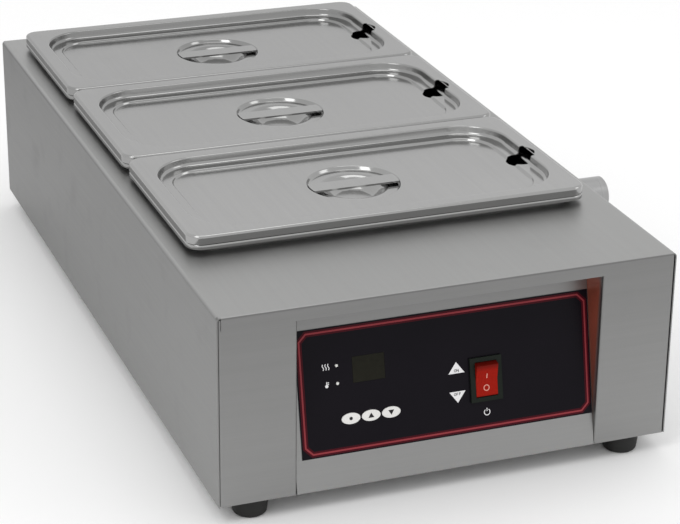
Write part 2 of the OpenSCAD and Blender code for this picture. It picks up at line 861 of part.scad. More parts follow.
// Open tank, with slots in its edge where the pans' lips meet
module water_tank() {
    corner_x = tank_out_w / 2 - pan_w / 2 + rim_r;
    lip_in = rim_r - sqrt(pow(rim_r - rim_bend, 2) - pow(corner_x, 2));
    slot_w = pan_gap + 2 * (lip_in + lip_fit);
    color(bright) difference() {
        translate([bath_x, bath_y, tank_under_z]) linear_extrude(tank_top_z - tank_under_z)
            rounded_rect(tank_out_w, tank_out_d, tank_r + tank_t);
        translate([bath_x, bath_y, tank_floor_z]) linear_extrude(tank_top_z)
            rounded_rect(tank_in_w, tank_in_d, tank_r);
        translate([spigot_x - 1, drain_y, drain_z]) along_x()
            cylinder(r = spigot_r + thread_fit, h = tank_t + 2);
        for (end = [-1, 1]) translate([bath_x, bath_y + end * pan_pitch / 2, 0])
            box([-tank_out_w, -slot_w / 2, rim_z - pan_lip - lip_fit], [tank_out_w, slot_w / 2, rim_z]);
    }
}

module heater_mat() {
    color("#c4632b") translate([bath_x, bath_y, heater_under_z + heater_t / 2])
        cube([heater_w, heater_d, heater_t], center = true);
}

module tank_insulation() {
    color("#d9cfa0") translate([bath_x, bath_y, (floor_z + heater_under_z) / 2])
        cube([heater_w + 2 * wool_margin, heater_d + 2 * wool_margin - 4 * wire_r, heater_under_z - floor_z],
            center = true);
}

probe_x = -30;
probe_l = 46;
probe_r = 3;
clip_w = 12;
clip_t = 1;
cutout_x = 40;
cutout_r = 8;
cutout_h = 9;
cutout_ear = [26, 8, 1.2];
cutout_blade = [0.8, 6, 7];
blade_pitch = 8;
sensor_up = 22;
sensor_z = tank_floor_z + sensor_up;

module temperature_probe() {
    color(bright) translate([bath_x + probe_x, tank_front_y - probe_r, sensor_z]) {
        translate([-probe_l / 2, 0, 0]) along_x() cylinder(r = probe_r, h = probe_l);
        translate([-clip_w / 2, -probe_r - clip_t, -probe_r - clip_t])
            cube([clip_w, 2 * probe_r + clip_t, 2 * (probe_r + clip_t)]);
    }
}

module thermal_cutout() {
    color(plastic) translate([bath_x + cutout_x, tank_front_y, sensor_z]) rotate([90, 0, 0]) {
        cylinder(r = cutout_r, h = cutout_h);
        translate([0, 0, cutout_ear[2] / 2]) cube(cutout_ear, center = true);
        for (sx = [-1, 1]) translate([sx * blade_pitch / 2, 0, cutout_h - eps + cutout_blade[2] / 2])
            cube(cutout_blade, center = true);
    }
}

// Drain, along +X at the drain's own axis

module on_drain(x) { translate([x, drain_y, drain_z]) along_x() children(); }

module drain_spigot() {
    color(bright) on_drain(spigot_x) difference() {
        cylinder(r = spigot_r, h = barrel_x - joint_gap - spigot_x);
        translate([0, 0, -1]) cylinder(r = drain_r, h = barrel_x);
    }
}

module ring(r_out, r_in, h) {
    difference() {
        cylinder(r = r_out, h = h);
        translate([0, 0, -1]) cylinder(r = r_in, h = h + 2);
    }
}

module drain_gasket() {
    color(rubber) on_drain(side_x) ring(spigot_r + gasket_w, spigot_r + thread_fit, gasket_t);
}

module drain_lock_nut() {
    color(bright) on_drain(side_x + gasket_t) difference() {
        hex_prism(nut_af, lock_nut_t);
        translate([0, 0, -1]) cylinder(r = spigot_r + thread_fit, h = lock_nut_t + 2);
    }
}

// Valve body: hexagonal inlet, barrel with the ball's room, and a neck for the stem
module valve_body() {
    color(bright) difference() {
        union() {
            on_drain(valve_x) rotate(30) hex_prism(inlet_af, inlet_l + eps);
            on_drain(barrel_x) cylinder(r = barrel_r, h = barrel_l);
            translate([ball_x, drain_y, drain_z]) cylinder(r = neck_r, h = barrel_r + neck_h);
        }
        on_drain(valve_x - 1) cylinder(r = socket_r, h = inlet_l + 1);
        on_drain(valve_x) cylinder(r = drain_r, h = barrel_l);
        on_drain(cavity_x) cylinder(r = cavity_r, h = cavity_l);
        on_drain(cavity_x) cylinder(r = screw_in_r + thread_fit, h = barrel_l + inlet_l);
        translate([ball_x, drain_y, drain_z]) cylinder(r = stem_r + run_fit, h = barrel_r + neck_h + 1);
    }
}

// Two rings that hold the ball, each with a cone towards it
module valve_seats() {
    clear_r = ball_r + seat_gap;
    face_r = sqrt(clear_r * clear_r - pow(cavity_l / 2 - seat_l, 2));
    bore_r = drain_r + 2 * thread_fit;
    bore_l = cavity_l / 2 - sqrt(clear_r * clear_r - bore_r * bore_r);
    color("white") for (side = [0, 1]) on_drain(cavity_x + side * cavity_l) rotate([0, 180 * side, 0])
        rotate_extrude() polygon([
            [bore_r, 0], [cavity_r - thread_fit, 0], [cavity_r - thread_fit, seat_l], [face_r, seat_l],
            [bore_r, bore_l]
        ]);
}

// Ball, closed: its port lies across the drain
module valve_ball() {
    color(bright) translate([ball_x, drain_y, drain_z]) difference() {
        sphere(r = ball_r);
        translate([0, -ball_r - 1, 0]) along_y() cylinder(r = drain_r * 0.9, h = 2 * ball_r + 2);
        translate([0, 0, tang_z - drain_z + ball_r]) cube([tang[0] + 2 * thread_fit, 2 * tang[1],
            2 * ball_r], center = true);
    }
}

module valve_stem() {
    color(bright) translate([ball_x, drain_y, 0]) {
        intersection() {
            translate([-tang[0] / 2, -tang[1] / 2, tang_z + thread_fit])
                cube([tang[0], tang[1], 2 * tang[2]]);
            translate([0, 0, tang_z]) cylinder(r = stem_r, h = 3 * tang[2]);
        }
        translate([0, 0, drain_z + ball_r + thread_fit])
            cylinder(r = stem_r, h = shoulder_z - drain_z - ball_r - thread_fit);
        translate([0, 0, shoulder_z]) intersection() {
            cylinder(r = stem_r, h = flats_h);
            translate([-flats_w / 2, -flats_w, 0]) cube([flats_w, 2 * flats_w, flats_h]);
        }
        translate([0, 0, shoulder_z]) cylinder(r = stem_top_r, h = lever_t + lever_nut_h);
    }
}

// Lever, closed: a flat bar towards the front, turned on the stem's flats
module valve_lever() {
    color("#2a2a2c") translate([ball_x, drain_y, lever_z]) difference() {
        linear_extrude(lever_t) {
            circle(lever_w / 2);
            translate([-lever_w / 2, -lever_l + lever_w / 2]) square([lever_w, lever_l - lever_w / 2]);
            translate([0, -lever_l + lever_w / 2]) circle(lever_w / 2);
        }
        intersection() {
            translate([0, 0, -1]) cylinder(r = stem_r + thread_fit, h = lever_t + 2);
            translate([-flats_w / 2 - thread_fit, -flats_w, -1])
                cube([flats_w + 2 * thread_fit, 2 * flats_w, lever_t + 2]);
        }
    }
}

module lever_nut() {
    color(bright) translate([ball_x, drain_y, lever_z + lever_t]) difference() {
        hex_prism(lever_nut_af, lever_nut_h - 1);
        translate([0, 0, -1]) cylinder(r = stem_top_r + thread_fit, h = lever_nut_h + 2);
    }
}

// Spout: threaded end in the barrel, hexagonal collar and a round outlet
module drain_spout() {
    inside_x = cavity_x + cavity_l;
    chamfer = 1.5;
    color(bright) difference() {
        union() {
            on_drain(inside_x) cylinder(r = screw_in_r, h = spout_x - inside_x + eps);
            on_drain(spout_x) hex_prism(collar_af, collar_l);
            on_drain(spout_x) cylinder(r = spout_r, h = spout_end_x - spout_x - chamfer);
            on_drain(spout_end_x - chamfer) cylinder(r1 = spout_r, r2 = spout_r - chamfer, h = chamfer);
        }
        on_drain(inside_x - 1) cylinder(r = drain_r, h = drain_reach);
    }
}

// Cord gland in the rear panel, along +Y

module on_gland(y) { translate([gland_x, y, gland_pos_z]) along_y() children(); }

module cord_gland() {
    color(plastic) difference() {
        union() {
            on_gland(rear_y) hex_prism(gland_af, gland_hex_t);
            on_gland(rear_y - sheet_t - gland_inner_l)
                cylinder(r = gland_thread_r, h = sheet_t + gland_inner_l + eps);
            on_gland(rear_y + gland_hex_t - eps) cylinder(r = gland_outer_r, h = gland_outer_l);
        }
        on_gland(rear_y - gland_inner_l - 2) cylinder(r = gland_bore_r, h = gland_inner_l + gland_reach);
    }
}

module gland_cap() {
    color(plastic) on_gland(rear_y + gland_hex_t + joint_gap / 2) difference() {
        union() {
            cylinder(r = gland_cap_r, h = gland_cap_l - gland_cap_wall);
            translate([0, 0, gland_cap_l - gland_cap_wall])
                cylinder(r1 = gland_cap_r, r2 = gland_cap_r - gland_cap_wall, h = gland_cap_wall);
        }
        translate([0, 0, -1]) cylinder(r = gland_outer_r + thread_fit, h = gland_cap_l - gland_cap_wall + 1);
        cylinder(r = cord_r + 0.8, h = gland_cap_l + 1);
    }
}

module gland_seal() {
    seal_y = rear_y - gland_inner_l / 2;
    color(rubber) on_gland(seal_y)
        ring(gland_bore_r - thread_fit, cord_r, rear_y + gland_hex_t + gland_outer_l - seal_y);
}

module gland_nut() {
    color(plastic) on_gland(rear_y - sheet_t - gland_nut_t) difference() {
        hex_prism(gland_af, gland_nut_t);
        translate([0, 0, -1]) cylinder(r = gland_thread_r + thread_fit, h = gland_nut_t + 2);
    }
}

// Pans and lids

module pan(i) {
    mouth_w = pan_w - 2 * pan_flange;
    mouth_d = pan_d - 2 * pan_flange;
    slope = 90 - pan_draft;
    depth = pan_depth - pan_t;
    run = wall_run(pan_top_bend, pan_floor_bend, slope, depth);
    path = concat(
        [[mouth_r + lap, 0, 0]],
        wall_path(mouth_r, 0, pan_top_bend, pan_floor_bend, slope, depth),
        [[mouth_r - run - lap, -depth, 0]]
    );
    inset = run + lap / 2;
    color(bright) at_pan(i) translate([0, 0, rim_z]) {
        flanged_rim(pan_w, pan_d, rim_r, pan_lip, pan_t, rim_bend) rounded_rect(mouth_w, mouth_d, mouth_r);
        swept_round(mouth_w, mouth_d, mouth_r) polygon(sheet_outline(path, pan_t));
        translate([0, 0, -pan_depth]) linear_extrude(pan_t)
            rounded_rect(mouth_w - 2 * inset, mouth_d - 2 * inset, mouth_r - inset);
    }
}
module front_pan() { pan(0); }
module middle_pan() { pan(1); }
module rear_pan() { pan(2); }

// Round dish in a lid's panel: rim, ring and bowl
module dish() {
    path = concat(
        wall_path(dish_r, 0, dish_bend, dish_bend, step_slope, dish_ring_drop),
        step_path(bowl_r, -dish_ring_drop, bowl_run, dish_depth - dish_ring_drop),
        [[0, -dish_depth, 0]]
    );
    rotate_extrude() polygon(sheet_outline(path, pan_t));
}

// Slot for a ladle's handle, from a lid's right-hand border inwards, with a round inner end
module ladle_slot() {
    translate([pan_w / 2 - notch_l + notch_w / 2, 0]) {
        circle(notch_w / 2);
        translate([0, -notch_w / 2]) square([notch_l - notch_w / 2 - notch_rim, notch_w]);
    }
}

// Lid: border with a turned-down edge, wall, ledge, step, panel with its dish, and ladle slot
module lid(i) {
    well_w = pan_w - 2 * lid_border;
    well_d = pan_d - 2 * lid_border;
    ledge_r = lid_well_r - wall_run(lid_top_bend, lid_floor_bend, lid_slope, lid_wall_drop);
    step_r = ledge_r - lid_ledge;
    panel_r = step_r - wall_run(lid_step_bend, lid_step_bend, step_slope, lid_step_drop);
    path = concat(
        [[lid_well_r + lap, 0, 0]],
        wall_path(lid_well_r, 0, lid_top_bend, lid_floor_bend, lid_slope, lid_wall_drop),
        wall_path(step_r, -lid_wall_drop, lid_step_bend, lid_step_bend, step_slope, lid_step_drop),
        [[panel_r - lap, panel_z - lid_z, 0]]
    );
    inset = lid_well_r - panel_r + lap / 2;
    color(bright) at_pan(i) {
        difference() {
            union() {
                translate([0, 0, lid_z]) {
                    flanged_rim(pan_w, pan_d, rim_r, lid_lip, pan_t, rim_bend)
                        rounded_rect(well_w, well_d, lid_well_r);
                    swept_round(well_w, well_d, lid_well_r) polygon(sheet_outline(path, pan_t));
                }
                translate([0, 0, panel_z - pan_t]) linear_extrude(pan_t) difference() {
                    rounded_rect(well_w - 2 * inset, well_d - 2 * inset, lid_well_r - inset);
                    circle(dish_r);
                }
                translate([0, 0, panel_z]) dish();
            }
            translate([0, 0, panel_z - dish_depth]) linear_extrude(lid_z) ladle_slot();
        }
    }
}
module front_lid() { lid(0); }
module middle_lid() { lid(1); }
module rear_lid() { lid(2); }

// Strap across the dish, level with the panel, its ends on the dish's rim
module lid_handle(i) {
    rim_run = dish_bend * sin(step_slope) + (strap_t - dish_bend * (1 - cos(step_slope))) / tan(step_slope);
    color(bright) at_pan(i) translate([0, 0, panel_z - strap_t]) linear_extrude(strap_t) intersection() {
        circle(dish_r - rim_run - strap_fit);
        square([2 * dish_r, strap_w], center = true);
    }
}
module front_lid_handle() { lid_handle(0); }
module middle_lid_handle() { lid_handle(1); }
module rear_lid_handle() { lid_handle(2); }

// Feet and fasteners

module foot(sx, sy) {
    color(rubber) at_foot(sx, sy) difference() {
        rotate_extrude() polygon(concat(
            [[0, foot_h], [0, 0]], quarter(foot_base_r - foot_edge, foot_edge, foot_edge, 270),
            [[foot_r, foot_h - 1], [foot_r - 0.5, foot_h]]
        ));
        translate([0, 0, -1]) cylinder(r = foot_sink_r, h = foot_sink_h + 1);
        cylinder(r = foot_bore_r, h = foot_h + 1);
    }
}
module front_left_foot() { foot(-1, -1); }
module front_right_foot() { foot(1, -1); }
module rear_left_foot() { foot(-1, 1); }
module rear_right_foot() { foot(1, 1); }

module foot_screws() {
    color(steel) at_feet() translate([0, 0, foot_sink_h - foot_head_h]) {
        cylinder(r = foot_sink_r - 0.8, h = foot_head_h);
        cylinder(r = foot_screw_r, h = floor_z + foot_nut_h + 1 - foot_sink_h + foot_head_h);
    }
}

module foot_nuts() {
    color(steel) at_feet() translate([0, 0, floor_z]) difference() {
        hex_prism(foot_nut_af, foot_nut_h);
        translate([0, 0, -1]) cylinder(r = foot_screw_r + thread_fit, h = foot_nut_h + 2);
    }
}

module base_screws() { color(steel) at_base_screws() screw(); }
module panel_screws() { color(steel) at_panel_screws() screw(); }
module rear_screws() { color(steel) at_rear_screws() screw(); }

// Assembly

in_frame() top_deck();
in_frame() left_side_panel();
in_frame() right_side_panel();
in_frame() rear_panel();
in_frame() base_plate();
in_frame() control_plate();
in_frame() panel_label();
in_frame() display_window();
in_frame() display_module();
in_frame() heat_lamp();
in_frame() thermal_lamp();
in_frame() set_key();
in_frame() up_key();
in_frame() down_key();
in_frame() key_switches();
in_frame() control_board();
in_frame() board_standoffs();
in_frame() switch_housing();
in_frame() switch_rocker();
in_frame() terminal_block();
in_frame() heater_relay();
in_frame() earth_stud();
in_frame() heater_wires();
in_frame() water_tank();
in_frame() heater_mat();
in_frame() tank_insulation();
in_frame() temperature_probe();
in_frame() thermal_cutout();
in_frame() drain_spigot();
in_frame() drain_gasket();
in_frame() drain_lock_nut();
in_frame() valve_body();
in_frame() valve_seats();
in_frame() valve_ball();
in_frame() valve_stem();
in_frame() valve_lever();
in_frame() lever_nut();
in_frame() drain_spout();
in_frame() cord_gland();
in_frame() gland_cap();
in_frame() gland_seal();
in_frame() gland_nut();
in_frame() front_pan();
in_frame() middle_pan();
in_frame() rear_pan();
in_frame() front_lid();
in_frame() middle_lid();
in_frame() rear_lid();
in_frame() front_lid_handle();
in_frame() middle_lid_handle();
in_frame() rear_lid_handle();
in_frame() front_left_foot();
in_frame() front_right_foot();
in_frame() rear_left_foot();
in_frame() rear_right_foot();
in_frame() foot_screws();
in_frame() foot_nuts();
in_frame() base_screws();
in_frame() panel_screws();
in_frame() rear_screws();
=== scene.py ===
"""Looks of the chocolate melting tank: finishes, printed marks, floor, light and camera."""
import json
import math

import bmesh
import bpy
from mathutils import Matrix, Vector


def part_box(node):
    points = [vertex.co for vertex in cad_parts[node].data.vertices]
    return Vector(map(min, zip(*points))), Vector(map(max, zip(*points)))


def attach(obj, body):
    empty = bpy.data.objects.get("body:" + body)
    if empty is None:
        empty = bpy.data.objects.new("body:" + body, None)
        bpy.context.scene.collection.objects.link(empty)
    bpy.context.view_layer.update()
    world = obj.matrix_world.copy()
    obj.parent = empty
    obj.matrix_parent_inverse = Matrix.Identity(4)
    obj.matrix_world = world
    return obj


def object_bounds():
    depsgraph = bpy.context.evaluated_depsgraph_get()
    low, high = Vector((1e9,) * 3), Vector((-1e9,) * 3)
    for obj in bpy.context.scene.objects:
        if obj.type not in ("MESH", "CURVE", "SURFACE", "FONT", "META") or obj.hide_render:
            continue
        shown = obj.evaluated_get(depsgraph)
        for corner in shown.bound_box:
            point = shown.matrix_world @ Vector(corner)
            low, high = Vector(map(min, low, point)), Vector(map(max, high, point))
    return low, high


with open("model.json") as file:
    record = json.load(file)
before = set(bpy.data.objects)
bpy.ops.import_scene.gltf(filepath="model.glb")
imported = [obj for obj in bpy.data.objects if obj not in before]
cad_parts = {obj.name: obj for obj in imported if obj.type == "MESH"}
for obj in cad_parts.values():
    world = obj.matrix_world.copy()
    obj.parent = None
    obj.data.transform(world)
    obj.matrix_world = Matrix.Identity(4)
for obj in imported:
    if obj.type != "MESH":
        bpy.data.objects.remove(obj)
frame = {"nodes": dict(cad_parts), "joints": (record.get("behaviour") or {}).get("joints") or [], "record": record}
cad_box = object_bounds()

MM = 0.001

# Places taken from the frame

deck_low, deck_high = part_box("top_deck")
left_low, left_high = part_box("left_side_panel")
right_low, right_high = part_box("right_side_panel")
rocker_low, rocker_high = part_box("switch_rocker")
MIDDLE_X = (left_low.x + right_high.x) / 2
MIDDLE_Y = (deck_low.y + deck_high.y) / 2
FRONT_Y = left_low.y
REAR_Y = left_high.y
BASE_Z = left_low.z
DECK_Z = deck_high.z
joints = {joint["name"]: joint for joint in frame["joints"]}

# The control plate leans back: its own directions, and the foot of its middle line
OUT = -Vector(joints["up_key_press"]["axis"]).normalized()
UP = Vector((0, OUT.z, -OUT.y))
RIGHT = Vector((1, 0, 0))
PLATE_FOOT = Vector((MIDDLE_X, FRONT_Y, BASE_Z))


def on_plate(u, v, w):
    """Point of the control plate, from millimetres to the right, up the plate and out of it."""
    return PLATE_FOOT + (RIGHT * u + UP * v + OUT * w) * MM


def plate_box(node):
    """Lowest and highest u, v and w of a node, in millimetres on the control plate."""
    spots = [vertex.co - PLATE_FOOT for vertex in frame["nodes"][node].data.vertices]
    axes = (RIGHT, UP, OUT)
    low = [min(spot.dot(axis) for spot in spots) / MM for axis in axes]
    high = [max(spot.dot(axis) for spot in spots) / MM for axis in axes]
    return low, high


def middle_of(node):
    """Middle of a node on the plate, in millimetres."""
    low, high = plate_box(node)
    return (low[0] + high[0]) / 2, (low[1] + high[1]) / 2


# Node materials

class Wire:
    """A socket of a node tree. Arithmetic on it adds Math nodes."""

    def __init__(self, tree, socket=None):
        self.tree = tree
        self.socket = socket

    def feed(self, socket, value):
        """Links a wire to a socket, or sets the socket's value."""
        if isinstance(value, Wire):
            self.tree.links.new(value.socket, socket)
        else:
            socket.default_value = value

    def node(self, kind, settings=None, values=None, out=0):
        """Adds a node: its settings first, then its sockets' values or links."""
        made = self.tree.nodes.new("ShaderNode" + kind)
        for name, setting in (settings or {}).items():
            setattr(made, name, setting)
        for key, value in (values or {}).items():
            self.feed(made.inputs[key], value)
        return Wire(self.tree, made.outputs[out])

    def math(self, operation, *values):
        return self.node("Math", {"operation": operation}, dict(enumerate(values)))

    def __add__(self, other):
        return self.math("ADD", self, other)

    __radd__ = __add__

    def __sub__(self, other):
        return self.math("SUBTRACT", self, other)

    def __rsub__(self, other):
        return self.math("SUBTRACT", other, self)

    def __mul__(self, other):
        return self.math("MULTIPLY", self, other)

    __rmul__ = __mul__

    def __abs__(self):
        return self.math("ABSOLUTE", self)

    def most(self, other):
        """The larger of two values."""
        return self.math("MAXIMUM", self, other)

    def spread(self, low, high):
        """Runs from 0 at low to 1 at high, held at both ends."""
        return self.node("MapRange", {"clamp": True}, {0: self, 1: low, 2: high})


def grey(level):
    return (level, level, level, 1)


def mixed(mask, low, high):
    """Colour between two others, by a mask."""
    return mask.node("Mix", {"data_type": "RGBA"}, {0: mask, 6: low, 7: high}, out=2)


def scaled(place, factors):
    """Coordinates stretched along each axis."""
    return place.node("VectorMath", {"operation": "MULTIPLY"}, {0: place, 1: factors})


def noise(place, scale, detail=2.0):
    return place.node("TexNoise", None, {"Vector": place, "Scale": scale, "Detail": detail})


def part_of(vector, axis):
    """One of a vector's three numbers."""
    return vector.node("SeparateXYZ", None, {0: vector}, out=axis)


def raised(height, strength, depth):
    """Normal of a surface with fine relief."""
    return height.node("Bump", None, {"Strength": strength, "Distance": depth, "Height": height})


def object_place(start):
    return start.node("TexCoord", None, None, out="Object")


def lean(start, axis):
    """A surface's normal along one axis."""
    return part_of(start.node("NewGeometry", None, None, out="Normal"), axis)


def facing(start, axis):
    """1 where a surface faces along an axis, either way, and 0 where it doesn't."""
    return abs(lean(start, axis)).spread(0.35, 0.9)


def finish(name, inputs):
    """Node material; inputs takes a first wire and gives the shader's values and links."""
    material = bpy.data.materials.new(name)
    material.use_nodes = True
    tree = material.node_tree
    shader = tree.nodes["Principled BSDF"]
    start = Wire(tree)
    for socket, value in inputs(start).items():
        start.feed(shader.inputs[socket], value)
    return material


# Brushed sheet: how fine its marks are across and along the brushing, and how far they change the finish
FINE_MARKS = (1500.0, 14.0)
COARSE_MARKS = (260.0, 3.0)
SHEET_CLOUDS = 6.0
HANDLING_MARKS = 26.0
TONE_SWING = 0.1
ROUGH_SWING = 0.12
HANDLING_ROUGH = 0.04
MARK_DEPTH = 0.02 * MM


def streaks(start, across, along):
    """Brushing along the cabinet, and crosswise on what faces front or rear."""
    place = object_place(start)
    lengthwise = noise(scaled(place, (across, along, across)), 1.0, 3.0)
    crosswise = noise(scaled(place, (along, across, across)), 1.0, 3.0)
    return lengthwise + (crosswise - lengthwise) * facing(start, 1)


def brushed(start, tone, rough, relief):
    """Satin sheet of one tone: coarse and fine brushing, faint clouds and handling marks."""
    fine = streaks(start, *FINE_MARKS)
    coarse = streaks(start, *COARSE_MARKS)
    cloud = noise(object_place(start), SHEET_CLOUDS, 3.0)
    touch = noise(object_place(start), HANDLING_MARKS, 4.0).spread(0.56, 0.72)
    grain = fine * 0.4 + coarse * 0.3 + cloud * 0.3
    level = tone * (1 - TONE_SWING / 2 + grain.spread(0.3, 0.7) * TONE_SWING)
    return {
        "Base Color": level.node("CombineColor", None, {0: level, 1: level, 2: level * 0.99}),
        "Metallic": 1.0,
        "Roughness": rough + (fine - 0.5) * ROUGH_SWING + touch * HANDLING_ROUGH,
        "Normal": raised(fine, relief, MARK_DEPTH),
    }


# Painted light: upward faces take the deck tone, uprights a darker painted-shade tone that painted light lifts
# towards the front and the foot, and the bend at the front edge gets a painted shade
DECK_TONE = 0.335
SIDE_PAINTED_SHADE_TONE = 0.105
FRONT_PAINTED_LIGHT = 0.112
FOOT_PAINTED_LIGHT = 0.083
SHEET_ROUGH = 0.4
SHEET_RELIEF = 0.2
BEND_SHADE = 0.45
BEND_REACH = 3 * MM
BEND_FADE = 1 * MM


def cabinet_steel(start):
    """Cabinet sheet with painted light: the uprights are painted darker than the deck, most of all high up at the
    rear, and the front bend is painted darker.
    """
    place = object_place(start)
    painted_light_forward = part_of(place, 1).spread(REAR_Y, FRONT_Y)
    painted_light_downward = part_of(place, 2).spread(DECK_Z, BASE_Z)
    # painted light on the uprights: lighter towards the front and towards the foot
    upright = SIDE_PAINTED_SHADE_TONE + painted_light_forward * FRONT_PAINTED_LIGHT + painted_light_downward * FOOT_PAINTED_LIGHT
    rise = lean(start, 2)
    front = part_of(place, 1).spread(FRONT_Y + BEND_REACH + BEND_FADE, FRONT_Y + BEND_REACH)
    # painted shade along the bend at the front edge
    painted_bend_shade = rise.spread(0.3, 0.6) * rise.spread(0.97, 0.8) * front
    # painted shade: faces that don't face up take the darker upright tone
    tone = upright + (DECK_TONE - upright) * facing(start, 2)
    return brushed(start, tone * (1.0 - painted_bend_shade * BEND_SHADE), SHEET_ROUGH, SHEET_RELIEF)


# Painted reflection of a warm colour on the right-hand cheek of the control bay. Its borders run from bare steel
# to the painted reflection:
# off the cheek's face, back from the front, ahead of the cheek's end and under the deck
CHEEK_X = right_low.x
CHEEK_SKIN = (1.2 * MM, 0.4 * MM)
CHEEK_EDGE = (2 * MM, 7 * MM)
CHEEK_END = (60 * MM, 50 * MM)
CHEEK_HEAD = (10 * MM, 18 * MM)
CHEEK_DEEP_FROM = 50 * MM
CHEEK_DEEP_TO = 20 * MM
CHEEK_REFLECTED_WARM = (0.34, 0.085, 0.05, 1)
CHEEK_REFLECTED_DEEP = (0.10, 0.04, 0.03, 1)
CHEEK_REFLECTED_COOL = (0.15, 0.16, 0.17, 1)
CHEEK_SHEEN = 0.35


def cheek_painted_reflection(start):
    """Side panel whose inner cheek carries a painted warm reflection, deeper to the foot and gone at the top and
    edge.
    """
    sheet = cabinet_steel(start)
    place = object_place(start)
    inner = part_of(place, 0).spread(*(CHEEK_X + reach for reach in CHEEK_SKIN))
    depth = part_of(place, 1).spread(*(FRONT_Y + reach for reach in CHEEK_EDGE))
    within = part_of(place, 1).spread(*(FRONT_Y + reach for reach in CHEEK_END))
    height = part_of(place, 2).spread(*(DECK_Z - reach for reach in CHEEK_HEAD))
    patch = noise(scaled(place, (40.0, 60.0, 12.0)), 1.0).spread(0.2, 0.75)
    foot = part_of(place, 2).spread(DECK_Z - CHEEK_DEEP_FROM, BASE_Z + CHEEK_DEEP_TO)
    # painted reflection: warm colour, darker towards the foot
    reflected_warm = mixed(foot * (0.7 + patch * 0.3), CHEEK_REFLECTED_WARM, CHEEK_REFLECTED_DEEP)
    cheek = inner * depth * within
    # the painted reflection goes on the cheek, made less metallic so that its colour shows
    sheet["Base Color"] = mixed(cheek, sheet["Base Color"], mixed(height, CHEEK_REFLECTED_COOL, reflected_warm))
    sheet["Metallic"] = 1.0 - cheek * (1.0 - CHEEK_SHEEN)
    return sheet


PAN_TONE = 0.25
PAN_FRONT_PAINTED_LIGHT = 0.118
PAN_CLOUDS = 9.0
PAN_SWING = 0.06
PAN_ROUGH = 0.14
PAN_RELIEF = 0.07


def pan_steel(start):
    """Pans and lids: smoother than the cabinet, with painted light that brightens them towards the front and
    leaves them a little darker at the rear.
    """
    place = object_place(start)
    cloud = noise(place, PAN_CLOUDS, 2.0)
    painted_light_forward = part_of(place, 1).spread(REAR_Y, FRONT_Y)
    # painted light: tone lifted towards the front
    tone = (PAN_TONE + painted_light_forward * PAN_FRONT_PAINTED_LIGHT) * (1 - PAN_SWING / 2 + cloud * PAN_SWING)
    return brushed(start, tone, PAN_ROUGH, PAN_RELIEF)


# Turning marks: very fine along the drain's line, long round it
TURNING_MARKS = (2600.0, 8.0, 8.0)
TURNING_RELIEF = 0.12


def turned(start, dark, light, rough):
    """Machined steel: rings round the drain's line, with faint clouds."""
    place = object_place(start)
    rings = noise(scaled(place, TURNING_MARKS), 1.0, 2.0)
    cloud = noise(place, 60.0, 3.0)
    return {
        "Base Color": mixed((rings * 0.6 + cloud * 0.4).spread(0.3, 0.7), grey(dark), grey(light)),
        "Metallic": 1.0,
        "Roughness": rough + (rings - 0.5) * ROUGH_SWING,
        "Normal": raised(rings, TURNING_RELIEF, MARK_DEPTH),
    }


def fitting_steel(start):
    return turned(start, 0.33, 0.38, 0.3)


def screw_steel(start):
    return turned(start, 0.42, 0.52, 0.24)


BRASS_DARK = (0.44, 0.29, 0.09, 1)
BRASS_LIGHT = (0.58, 0.42, 0.16, 1)


def brass(start):
    metal = turned(start, 0.4, 0.5, 0.3)
    cloud = noise(object_place(start), 90.0, 3.0)
    metal["Base Color"] = mixed(cloud.spread(0.3, 0.7), BRASS_DARK, BRASS_LIGHT)
    return metal


MOULD_CLOUDS = 22.0
MOULD_ROUGH_SWING = 0.18
MOULD_DEPTH = 0.05 * MM


def moulded(dark, light, rough, size, relief, specular=0.5):
    """Moulded or cast surface: two close tones, with grain of one size in millimetres."""
    def inputs(start):
        place = object_place(start)
        grain = noise(place, 1 / (size * MM), 4.0)
        cloud = noise(place, MOULD_CLOUDS, 2.0)
        tone = grain * 0.6 + cloud * 0.4
        return {
            "Base Color": mixed(tone.spread(0.32, 0.68), (*dark, 1), (*light, 1)),
            "Roughness": rough + (grain - 0.5) * MOULD_ROUGH_SWING,
            "Specular IOR Level": specular,
            "Normal": raised(grain, relief, MOULD_DEPTH),
        }
    return inputs


ROCKER_TOP = rocker_high.z
ROCKER_FOOT = rocker_low.z
ROCKER_TOP_FADE = 6 * MM
ROCKER_FOOT_FADE = 3 * MM
ROCKER_DEEP = (0.09, 0.004, 0.002, 1)


def rocker_red(start):
    """Clear red moulding: deeper at its ends, brighter in the middle."""
    base = moulded((0.27, 0.006, 0.002), (0.33, 0.010, 0.003), 0.34, 1.2, 0.05, 0.07)(start)
    height = part_of(object_place(start), 2)
    below_top = height.spread(ROCKER_TOP, ROCKER_TOP - ROCKER_TOP_FADE)
    above_foot = height.spread(ROCKER_FOOT, ROCKER_FOOT + ROCKER_FOOT_FADE)
    base["Base Color"] = mixed(below_top * above_foot, ROCKER_DEEP, base["Base Color"])
    return base


WOOL_DARK = (0.46, 0.39, 0.22, 1)
WOOL_LIGHT = (0.68, 0.61, 0.40, 1)
WOOL_RELIEF = 0.6
WOOL_DEPTH = 0.6 * MM


def wool(start):
    """Fibre slab: tangled strands in two directions."""
    place = object_place(start)
    lengthwise = noise(scaled(place, (700.0, 90.0, 500.0)), 1.0, 5.0)
    crosswise = noise(scaled(place, (90.0, 700.0, 500.0)), 1.0, 5.0)
    strands = lengthwise + crosswise
    return {
        "Base Color": mixed(strands.spread(0.7, 1.3), WOOL_DARK, WOOL_LIGHT),
        "Roughness": 0.95,
        "Normal": raised(strands, WOOL_RELIEF, WOOL_DEPTH),
    }


